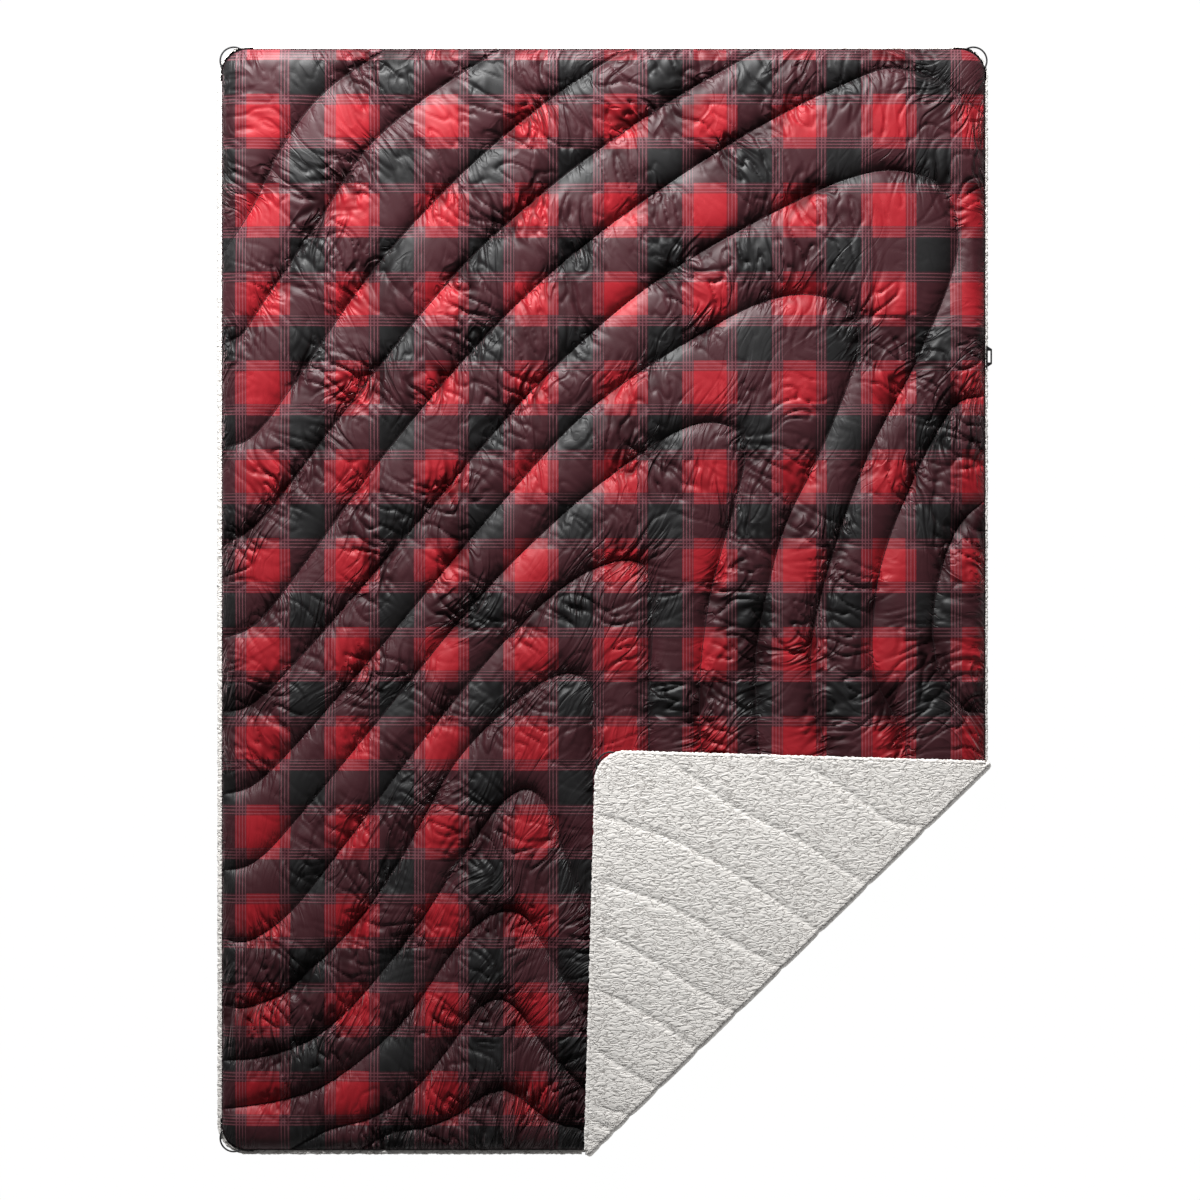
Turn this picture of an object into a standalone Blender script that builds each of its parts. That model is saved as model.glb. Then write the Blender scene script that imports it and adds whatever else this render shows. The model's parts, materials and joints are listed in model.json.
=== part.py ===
"""Quilted camp blanket, lying face up with one corner folded over.

The blanket is modelled open, around its own centre: a sherpa back, a sheet of insulation and
a face shell that is pinched to the back along the edge seam, with the quilting thread on top.
A diagonal hinge line, at the height of the face, cuts every layer in two. The corner beyond
that line hangs on an empty that is turned half a turn, so it lies folded over on the face.

Units are metres, +Z up. The origin is under the middle of the whole piece.
"""
import math

import bmesh
import bpy
from mathutils import Matrix, Vector

# --- Driving dimensions -------------------------------------------------------------------
BLANKET_WIDTH = 1.32  # seam to seam
BLANKET_LENGTH = 1.905
CORNER_RADIUS = 0.045
CORNER_SEGMENTS = 8

SHERPA_THICKNESS = 0.006
SHERPA_MARGIN = 0.005  # pile that stands out past the seam all round
SHERPA_EDGE_RADIUS = 0.002
STACK_THICKNESS = 0.020  # floor to the top of the face, between two rows of quilting
FACE_THICKNESS = 0.0006
FACE_LIP = 0.0008  # upright edge of the face at the seam
BATTING_SETBACK = 0.0025  # insulation stops this far inside the seam
BATTING_LIP = 0.0003
PINCH_STEPS = ((0.008, 0.55), (0.014, 0.45))  # run in from the seam, share of the rise

GAP = 0.0003  # between pieces that touch
FOLD_LEG_X = 0.667  # the folded corner lands this far in from the side edge
FOLD_LEG_Y = 0.686  # and this far up from the bottom edge
FOLD_ROLL_REACH = 0.011  # how far the folded edge bulges past the hinge line

THREAD_DIAMETER = 0.0008
THREAD_STEP = 0.026  # length of each straight run that a row is made of
THREAD_END_SETBACK = 0.001  # from where the pinched edge begins
THREAD_FOLD_SETBACK = 0.002  # from the hinge line
SHORTEST_THREAD = 0.06  # a shorter end past the hinge line is left out
THREAD_RESOLUTION = 1

LOOP_CORD_DIAMETER = 0.003
LOOP_ROOT_ANGLE = math.radians(17)  # from the side edge, about the corner's centre
LOOP_REACH = 0.0142  # cord centre past the seam at the corner's middle
LOOP_SEGMENTS = 18
LOOP_RESOLUTION = 2

TAB_FROM_TOP = 0.532  # middle of the side tab, below the top seam
TAB_ROOT_LENGTH = 0.039
TAB_TIP_LENGTH = 0.026
TAB_REACH = 0.0104
TAB_THICKNESS = 0.002
TAB_SLOT_WIDTH = 0.0044
TAB_SLOT_LENGTH = 0.020
TAB_TIP_WALL = 0.0028

# Quilting rows, each from the bottom, side or top edge to the other end. The points are in
# thousandths of the blanket's width and length, from its lower left corner.
QUILT_ROWS = {
    "quilt_01": ((214, 1000), (131, 959), (79, 911), (37, 853), (0, 814)),
    "quilt_02": ((364, 1000), (265, 955), (189, 909), (126, 843), (52, 768), (24, 740), (0, 732)),
    "quilt_03": ((528, 1000), (425, 952), (307, 882), (197, 798), (84, 686), (55, 659), (31, 644),
                 (0, 638)),
    "quilt_04": ((705, 1000), (574, 947), (439, 880), (317, 804), (180, 689), (60, 580), (34, 562),
                 (0, 549)),
    "quilt_05": ((1000, 940), (941, 971), (879, 983), (817, 969), (685, 922), (491, 831),
                 (364, 753), (221, 639), (104, 529), (58, 488), (31, 472), (0, 465)),
    "quilt_06": ((1000, 57), (982, 76), (938, 121), (895, 183), (848, 235), (812, 300), (793, 362),
                 (776, 408), (772, 454), (788, 511), (845, 628), (911, 718), (957, 796), (965, 828),
                 (957, 860), (932, 880), (882, 890), (827, 884), (718, 850), (562, 786), (423, 702),
                 (260, 573), (104, 449), (58, 416), (31, 402), (0, 397)),
    "quilt_07": ((921, 0), (885, 78), (823, 155), (779, 200), (738, 262), (708, 335), (700, 408),
                 (701, 456), (716, 511), (738, 567), (779, 626), (817, 689), (835, 732),
                 (823, 764), (771, 777), (712, 771), (626, 741), (482, 673), (364, 586),
                 (257, 498), (161, 419), (58, 341), (31, 328), (0, 323)),
    "quilt_08": ((836, 0), (805, 66), (761, 124), (708, 198), (658, 271), (632, 344), (626, 417),
                 (637, 493), (655, 545), (674, 591), (685, 632), (675, 653), (642, 661),
                 (600, 654), (495, 605), (404, 550), (322, 490), (210, 395), (104, 306),
                 (54, 268), (29, 257), (0, 254)),
    "quilt_09": ((771, 0), (729, 58), (671, 126), (623, 198), (581, 271), (562, 344), (560, 417),
                 (564, 473), (562, 509), (552, 531), (531, 536), (495, 530), (450, 513),
                 (381, 470), (273, 381), (161, 278), (89, 216), (50, 195), (26, 189), (0, 192)),
    "quilt_10": ((695, 0), (657, 56), (628, 85), (567, 162), (524, 235), (495, 317), (489, 372),
                 (488, 404), (478, 426), (456, 433), (423, 426), (356, 390), (305, 351),
                 (232, 262), (172, 203), (119, 166), (73, 140), (26, 129), (0, 132)),
    "quilt_11": ((617, 0), (567, 60), (528, 134), (489, 197), (452, 262), (426, 312), (400, 328),
                 (371, 318), (324, 276), (249, 197), (156, 121), (109, 98), (54, 85), (0, 81)),
    "quilt_12": ((542, 0), (516, 70), (473, 124), (417, 191), (398, 211), (375, 218), (350, 213),
                 (309, 186), (242, 121), (189, 86), (134, 59), (76, 45), (0, 37)),
    "quilt_13": ((525, 0), (490, 42), (418, 98), (383, 130), (362, 138), (339, 131), (292, 88),
                 (244, 50), (191, 28), (142, 19), (89, 0)),
    "quilt_14": ((505, 0), (474, 18), (430, 27), (385, 50), (364, 55), (341, 49), (305, 31),
                 (266, 21), (220, 15), (181, 0)),
    "side_quilt_1": ((1000, 685), (967, 680), (941, 657), (873, 552), (856, 500), (856, 431),
                     (885, 388), (911, 326), (924, 263), (950, 237), (978, 205), (1000, 180)),
    "side_quilt_2": ((1000, 590), (970, 571), (944, 530), (932, 477), (938, 440), (954, 416),
                     (972, 400), (1000, 397)),
}

# --- Places that follow from the dimensions ------------------------------------------------
HALF_W = BLANKET_WIDTH / 2
HALF_L = BLANKET_LENGTH / 2
THREAD_RADIUS = THREAD_DIAMETER / 2
FACE_BASE = SHERPA_THICKNESS + GAP
THREAD_HEIGHT = STACK_THICKNESS + GAP + THREAD_RADIUS  # of a quilting thread's middle
EDGE_THREAD_HEIGHT = SHERPA_THICKNESS + GAP + THREAD_RADIUS
PINCH_WIDTH = sum(run for run, share in PINCH_STEPS)
EDGE_THREAD_REACH = GAP + THREAD_RADIUS  # of the edge thread's middle past the seam
AXIS_HEIGHT = THREAD_HEIGHT + THREAD_RADIUS + GAP / 2
CORD_RADIUS = LOOP_CORD_DIAMETER / 2
CORD_HEIGHT = SHERPA_THICKNESS + GAP + CORD_RADIUS
LOOP_ROOT_REACH = EDGE_THREAD_REACH + THREAD_RADIUS + GAP + CORD_RADIUS
TAB_AXIS_REACH = EDGE_THREAD_REACH + THREAD_RADIUS + GAP + TAB_THICKNESS / 2
TAB_HEIGHT = SHERPA_THICKNESS + GAP + TAB_THICKNESS / 2
TAB_PAST_SHERPA = max(0.0, TAB_AXIS_REACH + TAB_REACH - SHERPA_MARGIN)

# The sheet is shifted so that the origin is under the middle of everything, tab included.
CENTRE = Vector((-TAB_PAST_SHERPA / 2, 0, 0))

# Folding carries the square corner by FOLD_LEG_X and FOLD_LEG_Y, so the hinge line is the
# perpendicular bisector of that move.
SQUARE_CORNER = Vector((HALF_W, -HALF_L, 0))
FOLD_NORMAL = Vector((FOLD_LEG_X, -FOLD_LEG_Y, 0)).normalized()
FOLD_POINT = SQUARE_CORNER - Vector((FOLD_LEG_X, -FOLD_LEG_Y, 0)) / 2
FOLD_DIRECTION = Vector((0, 0, 1)).cross(FOLD_NORMAL)


def clear_scene():
    for old in list(bpy.data.objects):
        bpy.data.objects.remove(old, do_unlink=True)


def make_material(name, colour, roughness):
    material = bpy.data.materials.new(name)
    material.use_nodes = True
    shader = material.node_tree.nodes["Principled BSDF"]
    shader.inputs["Base Color"].default_value = (*colour, 1)
    shader.inputs["Roughness"].default_value = roughness
    shader.inputs["Metallic"].default_value = 0.0
    return material


# --- The sheet's outline -------------------------------------------------------------------
def outline_points(reach, height):
    """Corners of the rounded rectangle that lies reach outside the seam, going round."""
    radius = CORNER_RADIUS + reach
    points = []
    for quarter, (side_x, side_y) in enumerate(((1, 1), (-1, 1), (-1, -1), (1, -1))):
        centre = corner_centre(side_x, side_y, height)
        for step in range(CORNER_SEGMENTS + 1):
            angle = math.pi / 2 * (quarter + step / CORNER_SEGMENTS)
            points.append(centre + radius * Vector((math.cos(angle), math.sin(angle), 0)))
    return points


def corner_centre(side_x, side_y, height):
    """Centre of the rounding at the corner on the given sides, each 1 or -1."""
    return Vector((side_x * (HALF_W - CORNER_RADIUS), side_y * (HALF_L - CORNER_RADIUS), height))


def distance_inside(point):
    """How far a point of the sheet is inside the seam."""
    over_x = abs(point.x) - (HALF_W - CORNER_RADIUS)
    over_y = abs(point.y) - (HALF_L - CORNER_RADIUS)
    outside = math.hypot(max(over_x, 0), max(over_y, 0))
    return CORNER_RADIUS - outside - min(max(over_x, over_y), 0)


def fold_distance(point):
    """Signed distance past the hinge line: below 0 on the main sheet, above 0 on the corner."""
    return (point - FOLD_POINT).dot(FOLD_NORMAL)


# --- Objects -------------------------------------------------------------------------------
def attach(obj, parent):
    """Parents obj without moving it; every empty is still unturned when this is called."""
    obj.parent = parent
    obj.matrix_parent_inverse = Matrix.Translation(-parent.location)


def add_empty(name, location, parent, collection):
    empty = bpy.data.objects.new(name, None)
    empty.location = location
    empty.empty_display_size = 0.05
    collection.objects.link(empty)
    if parent is not None:
        attach(empty, parent)
    return empty


def add_object(name, data, material, parent, collection):
    data.materials.append(material)
    obj = bpy.data.objects.new(name, data)
    collection.objects.link(obj)
    attach(obj, parent)
    return obj


def add_from_bmesh(name, bm, material, parent, collection):
    mesh = bpy.data.meshes.new(name)
    bm.to_mesh(mesh)
    bm.free()
    return add_object(name, mesh, material, parent, collection)


def tube_curve(name, points, radius, resolution):
    """A round cord or thread through the points, with closed ends."""
    curve = bpy.data.curves.new(name, "CURVE")
    curve.dimensions = "3D"
    spline = curve.splines.new("POLY")
    spline.points.add(len(points) - 1)
    for target, point in zip(spline.points, points):
        target.co = (*point, 1)
    curve.bevel_depth = radius
    curve.bevel_resolution = resolution
    curve.use_fill_caps = True
    return curve


# --- Layers --------------------------------------------------------------------------------
def raised_sheet(reach, base, lip, top, steps):
    """A solid on the outline: an upright lip, then sloping steps up to a flat top."""
    bm = bmesh.new()
    bottom = bm.faces.new([bm.verts.new(point) for point in outline_points(reach, base)])
    lifted = bmesh.ops.extrude_face_region(bm, geom=[bottom], use_keep_orig=True)["geom"]
    upper = next(item for item in lifted if isinstance(item, bmesh.types.BMFace))
    bmesh.ops.translate(bm, verts=upper.verts[:], vec=(0, 0, lip))
    for run, share in steps:
        bmesh.ops.inset_region(bm, faces=[upper], thickness=run, use_even_offset=True)
        rise = (top - base - lip) * share
        bmesh.ops.translate(bm, verts=upper.verts[:], vec=(0, 0, rise))
    bmesh.ops.recalc_face_normals(bm, faces=bm.faces)
    return bm


def cut_at_plane(bm, point, outward, closed):
    """Removes what lies beyond the plane, and closes the cut unless the piece is a shell."""
    cut = bmesh.ops.bisect_plane(
        bm,
        geom=bm.verts[:] + bm.edges[:] + bm.faces[:],
        plane_co=point,
        plane_no=outward,
        clear_outer=True,
    )
    if closed:
        rim = [item for item in cut["geom_cut"] if isinstance(item, bmesh.types.BMEdge)]
        bmesh.ops.contextual_create(bm, geom=rim)
    bmesh.ops.recalc_face_normals(bm, faces=bm.faces)


def cut_at_hinge(bm, side, closed):
    """Keeps the main sheet where side is -1, and the corner where it is 1."""
    cut_at_plane(bm, FOLD_POINT + side * GAP / 2 * FOLD_NORMAL, -side * FOLD_NORMAL, closed)


def make_sherpa_back(name, side, material, parent, collection):
    bm = raised_sheet(SHERPA_MARGIN, 0, SHERPA_THICKNESS, SHERPA_THICKNESS, ())
    cut_at_hinge(bm, side, closed=True)
    return add_from_bmesh(name, bm, material, parent, collection)


def make_insulation(name, side, material, parent, collection):
    top = STACK_THICKNESS - FACE_THICKNESS - GAP
    bm = raised_sheet(-BATTING_SETBACK, FACE_BASE, BATTING_LIP, top, PINCH_STEPS)
    cut_at_hinge(bm, side, closed=True)
    return add_from_bmesh(name, bm, material, parent, collection)


def make_face_shell(name, side, material, parent, collection):
    bm = raised_sheet(0, FACE_BASE, FACE_LIP, STACK_THICKNESS, PINCH_STEPS)
    bottom = min(bm.faces, key=lambda face: face.calc_center_median().z)
    bmesh.ops.delete(bm, geom=[bottom], context="FACES_ONLY")
    cut_at_hinge(bm, side, closed=False)
    shell = add_from_bmesh(name, bm, material, parent, collection)
    thicken = shell.modifiers.new("fabric thickness", "SOLIDIFY")
    thicken.thickness = FACE_THICKNESS
    thicken.offset = -1
    return shell


def make_fold_roll(material, parent, collection):
    """The bend itself: half of an oval bar along the hinge line, trimmed at the edges."""
    bm = bmesh.new()
    long_enough = BLANKET_WIDTH + BLANKET_LENGTH
    bmesh.ops.create_cone(
        bm, cap_ends=True, segments=24, radius1=1, radius2=1, depth=long_enough
    )
    bmesh.ops.scale(bm, vec=(AXIS_HEIGHT, FOLD_ROLL_REACH, 1), verts=bm.verts)
    upright = Matrix((Vector((0, 0, 1)), FOLD_NORMAL, FOLD_DIRECTION)).transposed().to_4x4()
    place = Matrix.Translation(FOLD_POINT + Vector((0, 0, AXIS_HEIGHT))) @ upright
    bmesh.ops.transform(bm, matrix=place, verts=bm.verts)
    cut_at_plane(bm, FOLD_POINT + GAP * FOLD_NORMAL, -FOLD_NORMAL, closed=True)
    right_edge = Vector((HALF_W + SHERPA_MARGIN, 0, 0))
    cut_at_plane(bm, right_edge, Vector((1, 0, 0)), closed=True)
    bottom_edge = Vector((0, -HALF_L - SHERPA_MARGIN, 0))
    cut_at_plane(bm, bottom_edge, Vector((0, -1, 0)), closed=True)
    return add_from_bmesh("fold_roll", bm, material, parent, collection)


# --- Threads -------------------------------------------------------------------------------
def smooth_path(points, samples=24):
    """A centripetal Catmull-Rom curve through the points, sampled finely."""
    ends = [2 * points[0] - points[1], *points, 2 * points[-1] - points[-2]]
    path = []
    for a, b, c, d in zip(ends, ends[1:], ends[2:], ends[3:]):
        t1 = (b - a).length ** 0.5
        t2 = t1 + (c - b).length ** 0.5
        t3 = t2 + (d - c).length ** 0.5
        for step in range(samples):
            t = t1 + (t2 - t1) * step / samples
            ab = a.lerp(b, t / t1)
            bc = b.lerp(c, (t - t1) / (t2 - t1))
            cd = c.lerp(d, (t - t2) / (t3 - t2))
            path.append(ab.lerp(bc, t / t2).lerp(bc.lerp(cd, (t - t1) / (t3 - t1)), (t - t1) / (t2 - t1)))
    path.append(points[-1])
    return path


def row_points(name):
    """A quilting row's points on the open sheet, at the height of the thread."""
    return [
        Vector(((u / 1000 - 0.5) * BLANKET_WIDTH, (v / 1000 - 0.5) * BLANKET_LENGTH, THREAD_HEIGHT))
        for u, v in QUILT_ROWS[name]
    ]


def runs_where(path, keep):
    """The unbroken stretches of a path whose points pass the test."""
    runs = [[]]
    for point in path:
        if keep(point):
            runs[-1].append(point)
        elif runs[-1]:
            runs.append([])
    return [run for run in runs if len(run) > 1]


def path_length(path):
    return sum((b - a).length for a, b in zip(path, path[1:]))


def spaced(path, step):
    """The same path with points about step apart, both ends kept."""
    count = max(2, round(path_length(path) / step))
    wanted = [path_length(path) * k / count for k in range(count + 1)]
    points, travelled, index = [], 0.0, 0
    for target in wanted[:-1]:
        while travelled + (path[index + 1] - path[index]).length < target:
            travelled += (path[index + 1] - path[index]).length
            index += 1
        stretch = (path[index + 1] - path[index]).length
        points.append(path[index].lerp(path[index + 1], (target - travelled) / stretch))
    return [*points, path[-1]]


def make_quilting(prefix, side, material, parent, collection):
    """One thread for each row that has a fair length on this side of the hinge line."""

    def keep(point):
        on_the_flat = distance_inside(point) > PINCH_WIDTH + THREAD_END_SETBACK
        return on_the_flat and side * fold_distance(point) > THREAD_FOLD_SETBACK

    for name in QUILT_ROWS:
        runs = runs_where(smooth_path(row_points(name)), keep)
        longest = max(runs, key=path_length, default=[])
        if path_length(longest) < SHORTEST_THREAD:
            continue
        points = spaced(longest, THREAD_STEP)
        curve = tube_curve(prefix + name, points, THREAD_RADIUS, THREAD_RESOLUTION)
        add_object(prefix + name, curve, material, parent, collection)


def make_edge_thread(name, side, material, parent, collection):
    """The edge seam's thread, from the hinge line round to the hinge line again."""
    ring = outline_points(EDGE_THREAD_REACH, EDGE_THREAD_HEIGHT)
    ring = [a.lerp(b, k / 40) for a, b in zip(ring, ring[1:] + ring[:1]) for k in range(40)]
    start = min(range(len(ring)), key=lambda k: side * fold_distance(ring[k]))
    ring = ring[start:] + ring[:start]
    run = runs_where(ring, lambda point: side * fold_distance(point) > THREAD_FOLD_SETBACK)[0]
    bends = [b for a, b, c in zip(run, run[1:], run[2:]) if (b - a).angle(c - b) > 0.001]
    curve = tube_curve(name, [run[0], *bends, run[-1]], THREAD_RADIUS, THREAD_RESOLUTION)
    return add_object(name, curve, material, parent, collection)


# --- Loops and tab -------------------------------------------------------------------------
def make_corner_loop(name, side_x, side_y, material, parent, collection):
    """A cord arc round the corner, on an empty in the middle of the line through its roots."""
    centre = corner_centre(side_x, side_y, CORD_HEIGHT)
    outward = Vector((side_x, side_y, 0)).normalized()
    along = Vector((0, 0, 1)).cross(outward)
    root_radius = CORNER_RADIUS + LOOP_ROOT_REACH
    half_chord = root_radius * math.sin(math.pi / 4 - LOOP_ROOT_ANGLE)
    chord_distance = root_radius * math.cos(math.pi / 4 - LOOP_ROOT_ANGLE)
    sagitta = CORNER_RADIUS + LOOP_REACH - chord_distance
    arc_radius = (half_chord**2 + sagitta**2) / (2 * sagitta)
    arc_centre = centre + outward * (CORNER_RADIUS + LOOP_REACH - arc_radius)
    half_angle = math.atan2(half_chord, arc_radius - sagitta)
    points = []
    for step in range(LOOP_SEGMENTS + 1):
        angle = half_angle * (2 * step / LOOP_SEGMENTS - 1)
        arm = outward * math.cos(angle) + along * math.sin(angle)
        points.append(arc_centre + arc_radius * arm)
    hinge = add_empty(f"{name}_hinge", (points[0] + points[-1]) / 2, parent, collection)
    curve = tube_curve(name, points, CORD_RADIUS, LOOP_RESOLUTION)
    return add_object(name, curve, material, hinge, collection)


def make_side_tab(material, parent, collection):
    """A flat tab with a slot, wider at the seam, on an empty at its inner edge."""
    axis = Vector((HALF_W + TAB_AXIS_REACH, HALF_L - TAB_FROM_TOP, TAB_HEIGHT))
    hinge = add_empty("side_tab_hinge", axis, parent, collection)
    slot_end = TAB_REACH - TAB_TIP_WALL
    slot_start = slot_end - TAB_SLOT_WIDTH
    outer = (
        (0, -TAB_ROOT_LENGTH / 2),
        (TAB_REACH, -TAB_TIP_LENGTH / 2),
        (TAB_REACH, TAB_TIP_LENGTH / 2),
        (0, TAB_ROOT_LENGTH / 2),
    )
    slot = (
        (slot_start, -TAB_SLOT_LENGTH / 2),
        (slot_start, TAB_SLOT_LENGTH / 2),
        (slot_end, TAB_SLOT_LENGTH / 2),
        (slot_end, -TAB_SLOT_LENGTH / 2),
    )
    curve = bpy.data.curves.new("side_tab", "CURVE")
    curve.dimensions = "2D"
    curve.fill_mode = "BOTH"
    curve.extrude = TAB_THICKNESS / 2
    for ring in (outer, slot):
        spline = curve.splines.new("POLY")
        spline.points.add(len(ring) - 1)
        for target, (x, y) in zip(spline.points, ring):
            target.co = (x, y, 0, 1)
        spline.use_cyclic_u = True
    tab = add_object("side_tab", curve, material, hinge, collection)
    tab.location = axis
    return tab


# --- The blanket ---------------------------------------------------------------------------
clear_scene()
blanket = bpy.data.collections.new("camp_blanket")
bpy.context.scene.collection.children.link(blanket)

face_cloth = make_material("face polyester", (0.36, 0.02, 0.04), 0.35)
sherpa_pile = make_material("sherpa fleece", (0.66, 0.64, 0.61), 0.95)
hollow_fibre = make_material("hollow-fibre insulation", (0.85, 0.85, 0.83), 0.9)
sewing_thread = make_material("sewing thread", (0.03, 0.015, 0.018), 0.6)
nylon_cord = make_material("nylon cord", (0.012, 0.012, 0.013), 0.5)
moulded_nylon = make_material("moulded nylon", (0.015, 0.015, 0.016), 0.35)

sheet = add_empty("sheet", Vector((0, 0, 0)), None, blanket)
hinge_place = FOLD_POINT + Vector((0, 0, AXIS_HEIGHT))
corner_hinge = add_empty("corner_hinge", hinge_place, sheet, blanket)

for half, direction, holder in (("main", -1, sheet), ("corner", 1, corner_hinge)):
    make_sherpa_back(f"sherpa_back_{half}", direction, sherpa_pile, holder, blanket)
    make_insulation(f"insulation_{half}", direction, hollow_fibre, holder, blanket)
    make_face_shell(f"face_shell_{half}", direction, face_cloth, holder, blanket)
    make_edge_thread(f"edge_thread_{half}", direction, sewing_thread, holder, blanket)
make_quilting("", -1, sewing_thread, sheet, blanket)
make_quilting("corner_", 1, sewing_thread, corner_hinge, blanket)
make_fold_roll(sherpa_pile, sheet, blanket)

make_corner_loop("loop_top_left", -1, 1, nylon_cord, sheet, blanket)
make_corner_loop("loop_top_right", 1, 1, nylon_cord, sheet, blanket)
make_corner_loop("loop_bottom_left", -1, -1, nylon_cord, sheet, blanket)
make_corner_loop("loop_folded_corner", 1, -1, nylon_cord, corner_hinge, blanket)
make_side_tab(moulded_nylon, sheet, blanket)

# The corner is folded over, and the sheet moves so that the origin is under its middle.
corner_hinge.rotation_mode = "AXIS_ANGLE"
corner_hinge.rotation_axis_angle = (math.pi, *FOLD_DIRECTION)
sheet.location = CENTRE
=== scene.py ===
"""A quilted camp blanket, face up with one corner folded over, built round its CAD frame."""
import json
import math
import bmesh
import bpy
import numpy as np
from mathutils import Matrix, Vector, noise
from mathutils.kdtree import KDTree


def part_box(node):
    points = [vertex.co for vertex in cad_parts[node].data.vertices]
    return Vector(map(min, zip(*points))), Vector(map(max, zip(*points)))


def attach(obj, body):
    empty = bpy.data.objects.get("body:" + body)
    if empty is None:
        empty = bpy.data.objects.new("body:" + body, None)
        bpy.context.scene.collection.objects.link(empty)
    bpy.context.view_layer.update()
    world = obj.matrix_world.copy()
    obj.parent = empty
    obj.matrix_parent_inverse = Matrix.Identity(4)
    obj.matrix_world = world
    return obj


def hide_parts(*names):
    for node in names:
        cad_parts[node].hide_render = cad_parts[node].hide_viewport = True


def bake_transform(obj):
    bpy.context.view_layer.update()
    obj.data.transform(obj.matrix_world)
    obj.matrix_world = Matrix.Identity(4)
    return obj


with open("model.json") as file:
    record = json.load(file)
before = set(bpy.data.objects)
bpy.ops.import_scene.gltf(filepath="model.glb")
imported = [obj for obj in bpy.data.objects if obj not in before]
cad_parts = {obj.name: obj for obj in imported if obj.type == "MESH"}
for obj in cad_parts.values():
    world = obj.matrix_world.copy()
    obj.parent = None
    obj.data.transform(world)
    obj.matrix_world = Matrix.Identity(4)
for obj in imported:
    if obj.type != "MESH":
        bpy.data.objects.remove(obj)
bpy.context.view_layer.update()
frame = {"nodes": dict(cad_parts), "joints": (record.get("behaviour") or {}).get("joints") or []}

# --- Studio --------------------------------------------------------------------------------
# An even white floor, a soft light from beyond the blanket's top left corner, a weaker one
# from the other side, and a long lens straight above the blanket's middle.


def linear(hex_colour):
    """An sRGB hex colour as the linear values that a shader takes."""
    parts = [int(hex_colour[k:k + 2], 16) / 255 for k in (1, 3, 5)]
    return [c / 12.92 if c <= 0.04045 else ((c + 0.055) / 1.055) ** 2.4 for c in parts] + [1.0]


def add_node(material, kind, settings=(), links=()):
    """Adds a node; settings are properties or inputs by name, links are input to output."""
    node = material.node_tree.nodes.new(kind)
    for name, value in dict(settings).items():
        if isinstance(name, str) and hasattr(node, name):
            setattr(node, name, value)
        else:
            node.inputs[name].default_value = value
    for name, output in dict(links).items():
        material.node_tree.links.new(output, node.inputs[name])
    return node


def new_material(name, finish):
    """A material whose shader has the finish's settings, and that shader."""
    material = bpy.data.materials.new(name)
    material.use_nodes = True
    shader = material.node_tree.nodes["Principled BSDF"]
    for socket, value in finish.items():
        shader.inputs[socket].default_value = value
    return material, shader


def maths(material, operation, *values, clamp=False):
    """The output of a maths node; each value is a number or another node's output."""
    numbers = {k: value for k, value in enumerate(values) if isinstance(value, (int, float))}
    outputs = {k: value for k, value in enumerate(values) if k not in numbers}
    settings = {"operation": operation, "use_clamp": clamp, **numbers}
    return add_node(material, "ShaderNodeMath", settings, outputs).outputs[0]


def add_relief(material, shader, height, distance, strength, inward=False):
    """Gives the shader relief of that distance from a height output."""
    settings = {"Strength": strength, "Distance": distance, "invert": inward}
    bump = add_node(material, "ShaderNodeBump", settings, {"Height": height})
    material.node_tree.links.new(bump.outputs[0], shader.inputs["Normal"])


def add_piece(name, mesh, material):
    """An object of that mesh, smooth and in that material."""
    mesh.polygons.foreach_set("use_smooth", [True] * len(mesh.polygons))
    mesh.materials.append(material)
    piece = bpy.data.objects.new(name, mesh)
    bpy.context.collection.objects.link(piece)
    return piece


def coordinates(mesh):
    """The places of a mesh's vertices, one per row."""
    values = np.empty(len(mesh.vertices) * 3)
    mesh.vertices.foreach_get("co", values)
    return values.reshape(-1, 3)


CAMERA_HEIGHT = 5.78
CAMERA_X = -0.010
CAMERA_Y = -0.001
LENS_MM = 100
SENSOR_MM = 36
FLOOR_SIZE = 60
FLOOR_LEVEL = -0.0006
KEY_LIGHT = ((-0.8, 2.75, 1.45), 0.6, 215)  # place, size and watts
FILL_LIGHT = ((2.6, -3.2, 2.2), 3.0, 9)
SKY_STRENGTH = 0.09

bpy.ops.object.select_all(action="DESELECT")
bpy.ops.mesh.primitive_plane_add(size=FLOOR_SIZE, location=(0, 0, FLOOR_LEVEL))
floor = bpy.context.object
floor.name = "floor"
paper, _ = new_material(
    "matt paper backdrop",
    {
        "Base Color": linear("#000000"),
        "Roughness": 0.9,
        "Specular IOR Level": 0.1,
        "Emission Color": linear("#ffffff"),
        "Emission Strength": 1.0,
    },
)
floor.data.materials.append(paper)


def add_soft_light(name, place, size, watts):
    bpy.ops.object.light_add(type="AREA", location=place)
    lamp = bpy.context.object
    lamp.name = name
    lamp.data.shape = "SQUARE"
    lamp.data.size = size
    lamp.data.energy = watts
    lamp.rotation_euler = (-Vector(place)).to_track_quat("-Z", "Y").to_euler()


add_soft_light("key light", *KEY_LIGHT)
add_soft_light("fill light", *FILL_LIGHT)

world = bpy.data.worlds.new("studio")
world.use_nodes = True
sky = world.node_tree.nodes["Background"]
sky.inputs["Color"].default_value = linear("#ffffff")
sky.inputs["Strength"].default_value = SKY_STRENGTH
bpy.context.scene.world = world
bpy.context.scene.view_settings.view_transform = "Standard"

bpy.ops.object.camera_add(location=(CAMERA_X, CAMERA_Y, CAMERA_HEIGHT), rotation=(0, 0, 0))
camera = bpy.context.object
camera.data.lens = LENS_MM
camera.data.sensor_width = SENSOR_MM
camera.data.clip_end = FLOOR_SIZE
bpy.context.scene.camera = camera

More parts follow.
